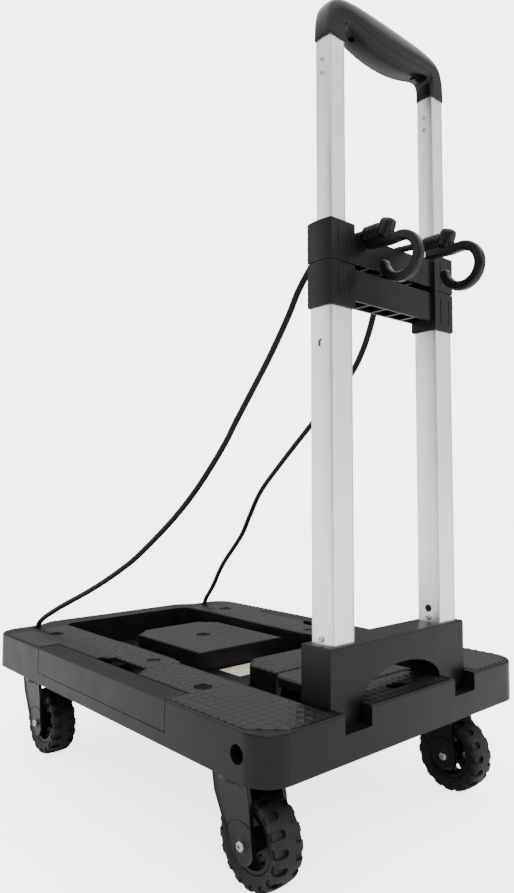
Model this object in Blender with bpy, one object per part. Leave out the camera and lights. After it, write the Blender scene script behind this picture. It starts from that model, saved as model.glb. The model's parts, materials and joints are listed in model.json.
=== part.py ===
"""Folding platform cart: moulded deck on four swivel casters, three-stage folding handle,
two pull-out side extensions and two elastic cords with hooks.

Lengths are millimetres, turned to metres as each mesh is made. +X is across the deck,
-Y is the handle end, +Z is up, and z = 0 is the floor."""

import math

import bmesh
import bpy
from mathutils import Matrix, Vector

MM = 0.001
GAP = 0.3                       # left between pieces that touch

# deck moulding
DECK_HALF_WIDTH = 200.0
DECK_BACK = -294.0              # handle end
DECK_FRONT = 278.0              # far end, beside the bulge
BULGE = 16.0                    # how far the middle of the far end stands out
DECK_TOP = 154.0
SKIRT_BOTTOM = 110.0
CORNER_RADIUS = 30.0
WALL = 3.0
FLOOR_TOP = 115.0

# pocket that the folded handle lies in
POCKET_FAR = 258.0
POCKET_NEAR = -279.5
POCKET_HALF = 104.5
POCKET_HALF_NEAR = 111.5
POCKET_HALF_FAR = 107.0
PANEL_HALF = 67.5               # raised panel between the folded tubes
NECK_HALF = 60.0                # narrower stretch of the handle-end panel
TROUGH = (-239.0, -153.5)       # opening in the handle-end panel, under its lid
LEDGE_TOP = 130.0               # raised floor between the two panels, which carries the label

# handle
PIVOT_Y = -258.0
PIVOT_Z = 133.0
ROD_RADIUS = 4.5
TUBE_X = 84.0
TUBE_Y = -260.6
BASE_HALF = 107.2
BASE_BACK = -278.9
BASE_FRONT = -240.7
BASE_TOP = 208.4
ARCH_HALF = 62.0
ARCH_FOOT = 154.0
ARCH_TOP = 180.6
LOWER_TUBE = (31.6, 27.2, 0.8, 1.3)     # width, depth, crown of the side faces, wall
MIDDLE_TUBE = (26.6, 23.4, 0.8, 1.2)
UPPER_TUBE = (22.2, 19.6, 0.7, 1.2)
COLLAR_SEAM = 574.4
LOWER_COLLAR_BOTTOM = 530.1
UPPER_COLLAR_TOP = 615.4
GRIP_BOTTOM = 803.0

# side extensions
EXTENSION = (-150.0, 137.0)
EXTENSION_BOTTOM = 123.0
SEAM = 0.4                      # more room than GAP, where an extension's edge shows
EXTENSION_INNER = 172.0

# lid over the trough
LID_AXIS_Y = -157.0
LID_AXIS_Z = 146.5

# casters
CASTER_X = 152.6
SWIVEL_Y = (-215.0, 216.0)
TRAIL = 19.4
WHEEL_RADIUS = 42.0
FORK_OUTER = 22.7

# cords and hooks
CORD_RADIUS = 3.5
CORD_HOLE = (148.0, 260.0)
SLEEVE_Z = 612.0
HOOKS = {"left": (-46.0, -274.0), "right": (24.0, -296.0)}    # x, and y of the sleeve's cord end
LEFT_ROUTE = [
    (-148, 260, 146.4), (-148, 259.8, 153), (-145.6, 250.5, 166), (-138.4, 212.6, 186.5),
    (-123.5, 139.2, 220.5), (-111.1, 78.1, 254), (-103.5, 40.5, 280.2), (-93.5, -8.6, 320.3),
    (-85.9, -46.1, 358), (-78.6, -81.9, 402.1), (-74.4, -101, 431.5), (-70.1, -123.8, 464.3),
    (-65.1, -148.8, 501.5), (-60.3, -172.3, 541), (-57, -186, 568.6), (-53, -202, 592.1),
    (-49.5, -218, 606.5), (-47, -234, 612.2), (-46, -252, 612.6), (-46, -273.7, 612),
]
RIGHT_ROUTE = [
    (148, 260, 146.4), (148, 259.8, 153), (145.2, 250.5, 166), (138.4, 222.5, 190),
    (128.1, 182.5, 230), (111, 115.8, 279.6), (103.5, 86, 312), (93.9, 49.2, 349.3),
    (77.8, -13.6, 389.8), (58.1, -90, 435.2), (45, -142, 465), (34.6, -181.6, 490),
    (29.5, -202.5, 512), (26.4, -216, 534), (24.5, -226, 558), (23.5, -232.5, 582),
    (23.2, -238, 600), (23.5, -246, 611), (23.8, -257, 614), (24, -270, 613.4), (24, -295.7, 612),
]

PLASTIC = ("black plastic", (0.021, 0.021, 0.022), 0.55, 0.0)
GRIP_PLASTIC = ("gloss black plastic", (0.012, 0.012, 0.013), 0.35, 0.0)
ALUMINIUM = ("anodised aluminium", (0.62, 0.63, 0.64), 0.38, 1.0)
ZINC = ("zinc plated steel", (0.45, 0.45, 0.46), 0.35, 1.0)
RUBBER = ("black rubber", (0.014, 0.014, 0.014), 0.75, 0.0)
ELASTIC = ("black braid", (0.008, 0.008, 0.008), 0.85, 0.0)
PAPER = ("cream label", (0.42, 0.40, 0.30), 0.6, 0.0)


# ---------------------------------------------------------------- helpers

def clear_scene():
    for obj in list(bpy.data.objects):
        bpy.data.objects.remove(obj)


def material(finish):
    name, colour, roughness, metallic = finish
    found = bpy.data.materials.get(name)
    if found:
        return found
    made = bpy.data.materials.new(name)
    made.use_nodes = True
    shader = made.node_tree.nodes["Principled BSDF"]
    shader.inputs["Base Color"].default_value = (*colour, 1.0)
    shader.inputs["Roughness"].default_value = roughness
    shader.inputs["Metallic"].default_value = metallic
    return made


def make_object(name, mesh_data, finish=None):
    mesh = bpy.data.meshes.new(name)
    bmesh.ops.recalc_face_normals(mesh_data, faces=mesh_data.faces)
    mesh_data.to_mesh(mesh)
    mesh_data.free()
    obj = bpy.data.objects.new(name, mesh)
    bpy.context.scene.collection.objects.link(obj)
    if finish:
        mesh.materials.append(material(finish))
    return obj


def prism(outline, low, high, axis="z", name="tool", finish=None):
    """An outline extruded along an axis. Outline pairs are (x, y), (x, z) for axis y, (y, z) for axis x."""
    place = {
        "z": lambda a, b, h: (a, b, h),
        "y": lambda a, b, h: (a, h, b),
        "x": lambda a, b, h: (h, a, b),
    }[axis]
    data = bmesh.new()
    rings = []
    for h in (low, high):
        rings.append([data.verts.new(Vector(place(a, b, h)) * MM) for a, b in outline])
    data.faces.new(rings[0])
    data.faces.new(rings[1])
    for i in range(len(outline)):
        j = (i + 1) % len(outline)
        data.faces.new((rings[0][i], rings[0][j], rings[1][j], rings[1][i]))
    return make_object(name, data, finish)


def loft(rings, name="tool", finish=None):
    """A solid through rings of (x, y, z) points, each with the same number of points."""
    data = bmesh.new()
    made = [[data.verts.new(Vector(p) * MM) for p in ring] for ring in rings]
    data.faces.new(made[0])
    data.faces.new(made[-1])
    for low, high in zip(made, made[1:]):
        for i in range(len(low)):
            j = (i + 1) % len(low)
            data.faces.new((low[i], low[j], high[j], high[i]))
    return make_object(name, data, finish)


def box(x, y, z, name="tool", finish=None):
    outline = [(x[0], y[0]), (x[1], y[0]), (x[1], y[1]), (x[0], y[1])]
    return prism(outline, z[0], z[1], "z", name, finish)


def circle(centre, radius, sides, start=0.0):
    return [
        (
            centre[0] + radius * math.cos(start + 2 * math.pi * i / sides),
            centre[1] + radius * math.sin(start + 2 * math.pi * i / sides),
        )
        for i in range(sides)
    ]


def cylinder(centre, radius, low, high, axis="z", sides=16, name="tool", finish=None):
    return prism(circle(centre, radius, sides, math.pi / sides), low, high, axis, name, finish)


def turned(profile, centre, sides, name, finish):
    """A closed (radius, x) profile turned about an axis parallel to X through centre (x, y, z)."""
    data = bmesh.new()
    rings = []
    for i in range(sides):
        a = 2 * math.pi * i / sides
        rings.append(
            [
                data.verts.new(
                    Vector((centre[0] + x, centre[1] + r * math.cos(a), centre[2] + r * math.sin(a)))
                    * MM
                )
                for r, x in profile
            ]
        )
    for i in range(sides):
        here, there = rings[i], rings[(i + 1) % sides]
        for k in range(len(profile)):
            n = (k + 1) % len(profile)
            data.faces.new((here[k], here[n], there[n], there[k]))
    return make_object(name, data, finish)


def settle(obj):
    """Bakes the modifiers into the mesh."""
    bpy.context.view_layer.update()
    evaluated = obj.evaluated_get(bpy.context.evaluated_depsgraph_get())
    mesh = bpy.data.meshes.new_from_object(evaluated)
    obj.modifiers.clear()
    obj.data = mesh


def combine(obj, tools, operation):
    for tool in tools:
        boolean = obj.modifiers.new("combine", "BOOLEAN")
        boolean.operation = operation
        boolean.object = tool
        settle(obj)
        bpy.data.objects.remove(tool)
    return obj


def cut(obj, *tools):
    return combine(obj, tools, "DIFFERENCE")


def join(obj, *tools):
    return combine(obj, tools, "UNION")


def keep_inside(obj, tool):
    return combine(obj, [tool], "INTERSECT")


def bevel_edges(obj, width, test, segments=2):
    """Rounds the edges whose two ends (in mm) pass the test."""
    data = bmesh.new()
    data.from_mesh(obj.data)
    edges = [e for e in data.edges if test(*(v.co / MM for v in e.verts))]
    bmesh.ops.bevel(data, geom=edges, offset=width * MM, segments=segments, profile=0.5, affect="EDGES")
    data.to_mesh(obj.data)
    data.free()
    return obj


def smooth(obj, angle=35):
    obj.data.shade_smooth()
    obj.data.set_sharp_from_angle(angle=math.radians(angle))
    return obj


def mirrored(obj, name):
    """A copy on the other side of the plane x = 0."""
    data = bmesh.new()
    data.from_mesh(obj.data)
    bmesh.ops.transform(data, matrix=Matrix.Scale(-1, 4, (1, 0, 0)), verts=data.verts)
    copy = make_object(name, data)
    for slot in obj.data.materials:
        copy.data.materials.append(slot)
    return smooth(copy)


def arc(centre, radius, start, end, steps):
    return [
        (
            centre[0] + radius * math.cos(math.radians(start + (end - start) * i / steps)),
            centre[1] + radius * math.sin(math.radians(start + (end - start) * i / steps)),
        )
        for i in range(steps + 1)
    ]


# ---------------------------------------------------------------- deck

def deck_outline(inset=0.0):
    half = DECK_HALF_WIDTH - inset
    back = DECK_BACK + inset
    front = DECK_FRONT - inset
    radius = CORNER_RADIUS - inset
    points = arc((half - radius, back + radius), radius, -90, 0, 9)
    points += arc((half - radius, front - radius), radius, 0, 90, 9)
    wide, narrow = 142 - inset * 0.4, 109 - inset * 0.4
    steps = 6
    rise = []
    for i in range(steps + 1):
        t = i / steps
        rise.append((wide + (narrow - wide) * t, front + BULGE * (1 - math.cos(math.pi * t)) / 2))
    points += rise
    points += [(-x, y) for x, y in reversed(rise)]
    points += arc((-half + radius, front - radius), radius, 90, 180, 9)
    points += arc((-half + radius, back + radius), radius, 180, 270, 9)
    return points


def pocket_outline(grow=0.0):
    far = POCKET_FAR + grow
    near = POCKET_NEAR - grow
    side = [
        (POCKET_HALF_NEAR + grow, near),
        (POCKET_HALF_NEAR + grow, -36),
        (POCKET_HALF + grow, -27),
        (POCKET_HALF + grow, 92),
        (POCKET_HALF_FAR + grow, 108),
    ]
    radius = 13.0 + grow
    side += arc((POCKET_HALF_FAR + grow - radius, far - radius), radius, 0, 90, 5)
    return side + [(-x, y) for x, y in reversed(side)]


def far_panel_outline(inset=0.0):
    half = PANEL_HALF - inset
    side = [(half, -23 + inset), (half, 117), (42 - inset * 0.5, 139.5 - inset)]
    return side + [(-x, y) for x, y in reversed(side)]


def neck_outline(inset=0.0):
    """The fixed stretch of the handle-end panel beyond the trough."""
    half = NECK_HALF - inset
    side = [
        (half, TROUGH[1] + inset),
        (half, -110),
        (half - 4, -104),
        (half - 12, -97 - inset * 0.4),
        (half - 24, -86.5 - inset),
    ]
    return side + [(-x, y) for x, y in reversed(side)]


def heel_outline(inset=0.0):
    """The fixed heel of the handle-end panel, narrower where the base's arch folds over it."""
    half = NECK_HALF + 0.6 - inset
    side = [(half, -292 + inset), (half, -250), (half - 5.0, TROUGH[0] - inset)]
    return side + [(-x, y) for x, y in reversed(side)]


def ledge_outline(inset=0.0):
    half = 62.0 - inset
    return [(-half, -100 + inset), (half, -100 + inset), (half, -20 - inset), (-half, -20 - inset)]


def pocket_cutters():
    """What the pocket takes out of the block, leaving the raised panels standing."""
    pocket = prism(pocket_outline(), FLOOR_TOP, DECK_TOP + 10)
    panels = [
        prism(far_panel_outline(), FLOOR_TOP - 5, DECK_TOP + 5),
        prism(neck_outline(), FLOOR_TOP - 5, DECK_TOP + 5),
        prism(heel_outline(), FLOOR_TOP - 5, DECK_TOP + 5),
        prism(ledge_outline(), FLOOR_TOP - 5, LEDGE_TOP),
    ]
    cut(pocket, *panels)
    return pocket


def hollow_cutters():
    """What is open from below: the rails, the raised panels and the underside of the floor."""
    top = DECK_TOP - WALL
    rails = prism(deck_outline(WALL), SKIRT_BOTTOM - 20, top)
    cut(rails, prism(pocket_outline(WALL), SKIRT_BOTTOM - 30, DECK_TOP + 10))
    # the handle end stays solid where the hinge rod and the legs bear on it
    cut(rails, box((-118, 118), (DECK_BACK - 5, POCKET_NEAR), (SKIRT_BOTTOM - 30, DECK_TOP)))
    floor = prism(pocket_outline(), SKIRT_BOTTOM - 20, FLOOR_TOP - WALL)
    panels = [
        prism(far_panel_outline(WALL), SKIRT_BOTTOM - 20, top),
        prism(neck_outline(WALL), SKIRT_BOTTOM - 20, top),
        prism([(x, max(y, -276)) for x, y in heel_outline(WALL)], SKIRT_BOTTOM - 20, top),
        prism(ledge_outline(5.7), SKIRT_BOTTOM - 20, LEDGE_TOP - WALL),
    ]
    return [rails, floor, *panels]


def deck_ribs():
    """Stiffening ribs under the rails, and the boxed pads that the casters bolt to."""
    ribs = []
    low, high = SKIRT_BOTTOM + 1.0, DECK_TOP - WALL + 0.5
    inner = POCKET_HALF_NEAR + 1.5
    outer = DECK_HALF_WIDTH - 1.5
    for side in (-1, 1):
        span = tuple(sorted((side * inner, side * outer)))
        for y in (-168.0, 152.0):
            ribs.append(box(span, (y - 1.25, y + 1.25), (low, high)))
        far_span = tuple(sorted((side * (POCKET_HALF + 1.5), side * outer)))
        for y in (-110.0, -60.0, -10.0, 40.0, 90.0):
            ribs.append(box(far_span, (y - 1.25, y + 1.25), (low, EXTENSION_BOTTOM + 2.5)))
        for y in SWIVEL_Y:
            for edge in (-31.0, 31.0):
                ribs.append(box(span, (y + edge - 1.25, y + edge + 1.25), (low, high)))
            x = side * CASTER_X
            end = (DECK_BACK + 5.5, y + 31) if y < 0 else (y - 31, y + 31)
            for edge in (-31.0, 31.0):
                ribs.append(box((x + edge - 1.25, x + edge + 1.25), end, (low, high)))
            pad = box((x - 31, x + 31), (y - 31, y + 31), (SKIRT_BOTTOM, SKIRT_BOTTOM + 4))
            ribs.append(pad)
    for x in (-60.0, -20.0, 20.0, 60.0):
        ribs.append(box((x - 1.25, x + 1.25), (POCKET_FAR + 1, DECK_FRONT + 12), (low, high)))
    for y in (20.0, 60.0, 100.0):
        ribs.append(box((-PANEL_HALF + 1, PANEL_HALF - 1), (y - 1.25, y + 1.25), (low + 2, high)))
    return ribs


def make_deck():
    deck = prism(deck_outline(), SKIRT_BOTTOM, DECK_TOP, name="deck", finish=PLASTIC)
    bevel_edges(deck, 2.5, lambda a, b: a.z > DECK_TOP - 1 and b.z > DECK_TOP - 1, 3)
    cut(deck, pocket_cutters(), *hollow_cutters())
    join(deck, *deck_ribs())
    # trough under the lid, open below so that the lid can swing down
    cut(deck, box((-68.4, 68.4), TROUGH, (SKIRT_BOTTOM - 10, DECK_TOP + 5)))
    for side in (-1, 1):
        # well that the handle's leg turns in
        well = sorted((side * (NECK_HALF + 0.6), side * POCKET_HALF_NEAR))
        cut(deck, box(well, (POCKET_NEAR, -232), (SKIRT_BOTTOM - 10, DECK_TOP + 5)))
        notch = sorted((side * 67.3, side * 104.4))
        cut(deck, box(notch, (DECK_BACK - 5, POCKET_NEAR + 5), (135.4, DECK_TOP + 5)))
        # seat of the side extension
        seat = sorted((side * (EXTENSION_INNER - GAP), side * (DECK_HALF_WIDTH + 5)))
        cut(deck, box(seat, (EXTENSION[0] - GAP, EXTENSION[1] + GAP), (EXTENSION_BOTTOM, DECK_TOP + 5)))
        # finger slot beside it
        slot = [(side * 172.5, -55), (side * 172.5, 41), (side * 154, 22), (side * 154, -40)]
        cut(deck, prism(slot, DECK_TOP - WALL - 2, DECK_TOP + 5))
        # hole for the cord
        cut(deck, cylinder((side * CORD_HOLE[0], CORD_HOLE[1]), 6.5, DECK_TOP - 6, DECK_TOP + 5, sides=12))
        for y in SWIVEL_Y:
            cut(deck, cylinder((side * CASTER_X, y), 4.6, SKIRT_BOTTOM - 5, SKIRT_BOTTOM + 10, sides=12))
        # access hole for the hinge rod, wider than the rod
        span = sorted((side * (DECK_HALF_WIDTH - WALL - 1), side * (DECK_HALF_WIDTH + 5)))
        cut(deck, cylinder((PIVOT_Y, PIVOT_Z), 8.5, *span, axis="x", sides=20))
    rod_hole = cylinder((PIVOT_Y, PIVOT_Z), ROD_RADIUS + 0.5, -192, 192, axis="x", sides=16)
    cut(deck, rod_hole)
    # ears that carry the lid's pin
    for side in (-1, 1):
        for x in (30.0, 48.0):
            span = sorted((side * x, side * (x + 4)))
            join(deck, box(span, (LID_AXIS_Y, -152), (LID_AXIS_Z - 3.1, LID_AXIS_Z + 3.1)))
            join(deck, cylinder((LID_AXIS_Y, LID_AXIS_Z), 3.2, *span, axis="x", sides=16))
        pin = sorted((side * 27, side * 55))
        cut(deck, cylinder((LID_AXIS_Y, LID_AXIS_Z), 1.9, *pin, axis="x", sides=10))
        # relief for the lid's knuckle
        cut(deck, box(sorted((side * 35, side * 47)), (-156, -152.2), (141, 150.6)))
    return smooth(deck)


def make_lid():
    """Lid that fills the handle-end panel while the handle is up, and swings down as it folds."""
    side = [
        (PANEL_HALF, TROUGH[0] + 1.3),
        (PANEL_HALF, -164.0),
        (NECK_HALF, -154.3),
    ]
    outline = side + [(-x, y) for x, y in reversed(side)]
    lid = prism(outline, 150, DECK_TOP, name="fold_lid", finish=PLASTIC)
    bevel_edges(lid, 1.2, lambda a, b: a.z > DECK_TOP - 1 and b.z > DECK_TOP - 1, 2)
    for s in (-1, 1):
        flange = box(sorted((s * (PANEL_HALF - 2.5), s * PANEL_HALF)), (TROUGH[0] + 2, -165), (144, 151))
        knuckle = box(sorted((s * 36, s * 46)), (-159.7, -154.3), (143.8, 151))
        join(lid, flange, knuckle)
    cut(lid, cylinder((LID_AXIS_Y, LID_AXIS_Z), 1.9, -55, 55, axis="x", sides=10))
    return smooth(lid)


def make_lid_pin():
    return smooth(cylinder((LID_AXIS_Y, LID_AXIS_Z), 1.5, -53, 53, axis="x", sides=10,
                           name="lid_pin", finish=ZINC))


def make_hinge_rod():
    rod = cylinder((PIVOT_Y, PIVOT_Z), ROD_RADIUS, -190, 190, axis="x", sides=16,
                   name="hinge_rod", finish=ZINC)
    return smooth(rod)


def make_label():
    low = LEDGE_TOP + GAP
    return box((-40, 40), (-67, -27), (low, low + 0.4), name="blank_label", finish=PAPER)


def make_extension():
    """Left-hand side extension: outer wall, top flange and the tongue that slides in the rail."""
    y0, y1, inner = EXTENSION[0] + SEAM, EXTENSION[1] - SEAM, EXTENSION_INNER + SEAM
    bottom = EXTENSION_BOTTOM + GAP
    outline = [(-DECK_HALF_WIDTH, y0), (-inner, y0), (-inner, y1), (-DECK_HALF_WIDTH, y1)]
    block = prism(outline, bottom, DECK_TOP, name="extension_left", finish=PLASTIC)
    bevel_edges(
        block, 2.0,
        lambda a, b: a.z > DECK_TOP - 1 and b.z > DECK_TOP - 1 and max(a.x, b.x) < -DECK_HALF_WIDTH + 1, 3,
    )
    cut(block, box((-DECK_HALF_WIDTH + 3, -150), (y0 + 3, y1 - 3), (bottom - 5, DECK_TOP - 3)))
    tongue = box((-DECK_HALF_WIDTH + 2, -124), (y0 + 32, y1 - 32), (127, 130.5))
    rails = [box((-DECK_HALF_WIDTH + 2, -124), (y - 1.5, y + 1.5), (129, 138)) for y in (-100, -6, 90)]
    join(block, tongue, *rails)
    return smooth(block)


# ---------------------------------------------------------------- casters

def caster_places():
    for end, y in zip(("rear", "front"), SWIVEL_Y):
        for side, s in (("left", -1), ("right", 1)):
            yield f"{end}_{side}", s * CASTER_X, y


def make_caster(tag, x, y):
    plate = prism(
        [(x + a, y + b) for a, b in ((-28, -22), (-22, -28), (22, -28), (28, -22),
                                     (28, 22), (22, 28), (-22, 28), (-28, 22))],
        106.5, SKIRT_BOTTOM - GAP, name=f"caster_plate_{tag}", finish=ZINC)
    join(plate, cylinder((x, y), 21, 103.4, 108, sides=16))
    cut(plate, cylinder((x, y), 4.5, 100, 112, sides=12))
    smooth(plate)

    bolt = cylinder((x, y), 4.0, 90.5, 121, sides=12, name=f"kingpin_{tag}", finish=ZINC)
    join(bolt, cylinder((x, y), 7.5, 88.5, 92.2, sides=6), cylinder((x, y), 7.0, 114.3, 119.5, sides=6))
    smooth(bolt)
    make_fork(tag, x, y)
    make_wheel(tag, x, y - TRAIL)


def make_fork(tag, x, y):
    """Two cheeks, round about the axle, under a domed head."""
    axle = (y - TRAIL, WHEEL_RADIUS)
    head_low = 92.5
    cheek = arc(axle, 16.5, 200, 345, 7)
    cheek += [(y + 20, 78), (y + 24, head_low + 4), (y - 25, head_low + 4), (y - 30, 76)]
    fork = cylinder((x, y), 27.0, head_low, 103.1, sides=20, name=f"fork_{tag}", finish=PLASTIC)
    bevel_edges(fork, 3.0, lambda a, b: a.z > 103 and b.z > 103, 1)
    for s in (-1, 1):
        inner, outer = sorted((x + s * 18.2, x + s * FORK_OUTER))
        join(fork, prism(cheek, inner, outer, axis="x"))
    cut(fork, cylinder(axle, 4.4, x - 30, x + 30, axis="x", sides=12))
    cut(fork, cylinder((x, y), 4.5, 80, 110, sides=12))
    smooth(fork)
    axle_bolt = cylinder(axle, 4.0, x - 26, x + 26, axis="x", sides=12, name=f"axle_bolt_{tag}", finish=ZINC)
    join(
        axle_bolt,
        cylinder(axle, 6.0, x - 27.2, x - FORK_OUTER - GAP, axis="x", sides=6),
        cylinder(axle, 6.0, x + FORK_OUTER + GAP, x + 27.2, axis="x", sides=6),
    )
    return smooth(axle_bolt)


def make_wheel(tag, x, y):
    centre = (x, y, WHEEL_RADIUS)
    half_section = [(4.5, 17), (10, 17), (10, 3), (23.5, 3), (23.5, 12), (26.8, 12)]
    section = [(r, -w) for r, w in half_section] + half_section[::-1]
    hub = turned(section, centre, 20, f"hub_{tag}", PLASTIC)
    for i in range(5):
        a = 2 * math.pi * (i + 0.5) / 5
        hole = circle((y + 17 * math.cos(a), WHEEL_RADIUS + 17 * math.sin(a)), 4.6, 6)
        cut(hub, prism(hole, x - 8, x + 8, axis="x"))
    smooth(hub)
    half = 16.5
    half_profile = [(27.3, 12.2), (35, half), (40.5, half - 2), (WHEEL_RADIUS, 8)]
    profile = [(r, -w) for r, w in half_profile] + half_profile[::-1]
    return smooth(turned(profile, centre, 28, f"tyre_{tag}", RUBBER), 40)


# ---------------------------------------------------------------- handle

def tube_outline(x, y, size, grow=0.0):
    """Flat faces along X, crowned faces on both sides."""
    width, depth, crown = size[0] + 2 * grow, size[1] + 2 * grow, size[2]
    half_w, half_d = width / 2, depth / 2
    radius = (half_d ** 2 + crown ** 2) / (2 * crown)
    spread = math.degrees(math.asin(half_d / radius))
    side = arc((half_w - radius, 0), radius, -spread, spread, 4)
    return [(x + a, y + b) for a, b in side + [(-a, -b) for a, b in side]]


def tube(name, x, size, low, high):
    made = prism(tube_outline(x, TUBE_Y, size), low, high, name=name, finish=ALUMINIUM)
    cut(made, prism(tube_outline(x, TUBE_Y, size, -size[3]), low - 5, high + 5))
    return made


def make_base():
    turns = [math.pi * i / 16 for i in range(17)]
    arch = [(ARCH_HALF * math.cos(a), ARCH_FOOT + (ARCH_TOP - ARCH_FOOT) * math.sin(a)) for a in turns]
    outline = [(ARCH_HALF, 112), (BASE_HALF, 112), (BASE_HALF, BASE_TOP), (-BASE_HALF, BASE_TOP),
               (-BASE_HALF, 112), (-ARCH_HALF, 112)] + arch[::-1]
    base = prism(outline, BASE_BACK - 1, BASE_FRONT + 1, axis="y", name="handle_base", finish=PLASTIC)
    mid = (BASE_BACK + BASE_FRONT) / 2
    foot = arc((mid, PIVOT_Z), (BASE_FRONT - BASE_BACK) / 2, 180, 360, 14)
    profile = [(BASE_FRONT, BASE_TOP), (BASE_BACK, BASE_TOP)] + foot
    keep_inside(base, prism(profile, -120, 120, axis="x"))
    bevel_edges(base, 2.0, lambda a, b: a.z > BASE_TOP - 1 and b.z > BASE_TOP - 1, 2)
    for s in (-1, 1):
        socket = tube_outline(s * TUBE_X, TUBE_Y, LOWER_TUBE, GAP + 0.05)
        cut(base, prism(socket, 151.7, BASE_TOP + 5))
    cut(base, cylinder((PIVOT_Y, PIVOT_Z), ROD_RADIUS + 0.5, -120, 120, axis="x", sides=16))
    return smooth(base)


def make_lower_tube(s):
    side = "left" if s < 0 else "right"
    made = tube(f"lower_tube_{side}", s * TUBE_X, LOWER_TUBE, 152, 570.7)
    outer = sorted((s * (TUBE_X + 8), s * (TUBE_X + 20)))
    inner = sorted((s * (TUBE_X - 20), s * (TUBE_X - 8)))
    cut(made, cylinder((TUBE_Y, 495), 4.0, *outer, axis="x", sides=14))
    cut(made, cylinder((TUBE_Y, 223), 4.2, *inner, axis="x", sides=14))
    return smooth(made, 30)


def make_middle_tube(s):
    side = "left" if s < 0 else "right"
    made = tube(f"middle_tube_{side}", s * TUBE_X, MIDDLE_TUBE, 212, 611.2)
    inner = sorted((s * (TUBE_X - 20), s * (TUBE_X - 8)))
    cut(made, cylinder((TUBE_Y, 223), 3.6, *inner, axis="x", sides=12))
    return smooth(made, 30)


def make_upper_tube(s):
    side = "left" if s < 0 else "right"
    return smooth(tube(f"upper_tube_{side}", s * TUBE_X, UPPER_TUBE, 530, 818), 30)


def make_guide_plug(s):
    """Plug in the foot of a middle tube, with the button that locks it to the lower tube."""
    side = "left" if s < 0 else "right"
    plug = prism(tube_outline(s * TUBE_X, TUBE_Y, MIDDLE_TUBE, -MIDDLE_TUBE[3] - 0.35), 213, 240,
                 name=f"lock_plug_{side}", finish=PLASTIC)
    button = sorted((s * (TUBE_X - MIDDLE_TUBE[0] / 2 + 0.2), s * TUBE_X))
    return smooth(join(plug, cylinder((TUBE_Y, 223), 3.1, *button, axis="x", sides=12)))


def make_upper_plug(s):
    side = "left" if s < 0 else "right"
    plug = prism(tube_outline(s * TUBE_X, TUBE_Y, UPPER_TUBE, 0.35), 521, 529.7,
                 name=f"stop_plug_{side}", finish=PLASTIC)
    return smooth(join(plug, prism(tube_outline(s * TUBE_X, TUBE_Y, UPPER_TUBE, -1.6), 528, 546)))


def collar_outline(s):
    """Collar section: flat front, back and inner faces, crowned outer face."""
    back, front = -276.7, -244.0
    mid, half = (back + front) / 2, (front - back) / 2
    crown = 1.8
    radius = (half ** 2 + crown ** 2) / (2 * crown)
    spread = math.degrees(math.asin(half / radius))
    outer = arc((100.7 + crown - radius, mid), radius, -spread, spread, 4)
    points = [(66.5, back)] + outer + [(66.5, front)]
    return [(s * x, y) for x, y in points]


def make_crossbar(name, low, high, bar, passing, seated, lip):
    """Two collars on a bar. The seated tube ends inside, and the passing tube slides through the lip."""
    beam = box((-75, 75), (-272.5, -248.0), bar, name=name, finish=PLASTIC)
    for s in (-1, 1):
        collar = prism(collar_outline(s), low, high)
        bevel_edges(collar, 1.2, lambda a, b: abs(a.z - b.z) < 0.01, 2)
        join(beam, collar)
    for s in (-1, 1):
        cut(beam, prism(tube_outline(s * TUBE_X, TUBE_Y, seated, GAP + 0.05), low - 5, lip))
        cut(beam, prism(tube_outline(s * TUBE_X, TUBE_Y, passing, 0.45), lip - 5, high + 5))
        for offset in (-7.0, 8.5):
            x = s * TUBE_X + offset
            cut(beam, box((x - 0.6, x + 0.6), (-280, -276.0), (low + 8, high - 8)))
    return beam


def make_lower_crossbar():
    bar = make_crossbar("lower_crossbar", LOWER_COLLAR_BOTTOM, COLLAR_SEAM - 0.15, (540, 571.5),
                        MIDDLE_TUBE, LOWER_TUBE, 571.0)
    for x in (-50.0, -25.0, 0.0, 25.0, 50.0):
        cut(bar, box((x - 10.5, x + 10.5), (-269.5, -251.0), (530, 560)))
    return smooth(bar)


def make_upper_crossbar():
    bar = make_crossbar("upper_crossbar", COLLAR_SEAM + 0.15, UPPER_COLLAR_TOP, (578, 607.3),
                        UPPER_TUBE, MIDDLE_TUBE, 611.5)
    for x in (-50.0, -25.0, 0.0, 25.0, 50.0):
        cut(bar, box((x - 10.5, x + 10.5), (-269.5, -251.0), (570, 598)))
    return smooth(bar)


def grip_section(x, y_half, z_low, z_high, lean):
    """One cross-section of the bar, in the plane of constant x: flatter on top, fuller below."""
    points = []
    for i in range(12):
        a = 2 * math.pi * i / 12
        ca, sa = math.cos(a), math.sin(a)
        ca = math.copysign(abs(ca) ** 0.75, ca)
        sa = math.copysign(abs(sa) ** 0.75, sa)
        points.append((x, TUBE_Y + lean + y_half * ca, (z_low + z_high) / 2 + (z_high - z_low) / 2 * sa))
    return points


def make_grip():
    stations = [
        # x, half depth, underside, top, lean
        (-94.5, 11.0, 812, 832, 0.0),
        (-90.0, 13.0, 806, 842, 0.0),
        (-80.0, 15.0, 808, 848, 0.5),
        (-62.0, 17.0, 817, 851.5, 2.0),
        (-35.0, 18.5, 813.5, 853.5, 3.0),
        (0.0, 19.2, 811, 854, 3.5),
    ]
    stations += [(-x, *rest) for x, *rest in reversed(stations[:-1])]
    grip = loft([grip_section(*s) for s in stations], name="grip", finish=GRIP_PLASTIC)
    for s in (-1, 1):
        leg = prism(tube_outline(s * TUBE_X, TUBE_Y, UPPER_TUBE, 1.6), GRIP_BOTTOM, 836)
        join(grip, leg)
    for s in (-1, 1):
        cut(grip, prism(tube_outline(s * TUBE_X, TUBE_Y, UPPER_TUBE, GAP + 0.05), 795, 818.3))
        cut(grip, cylinder((s * 52, TUBE_Y), 3.0, 790, 826, sides=10))
    return smooth(grip, 50)


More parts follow.
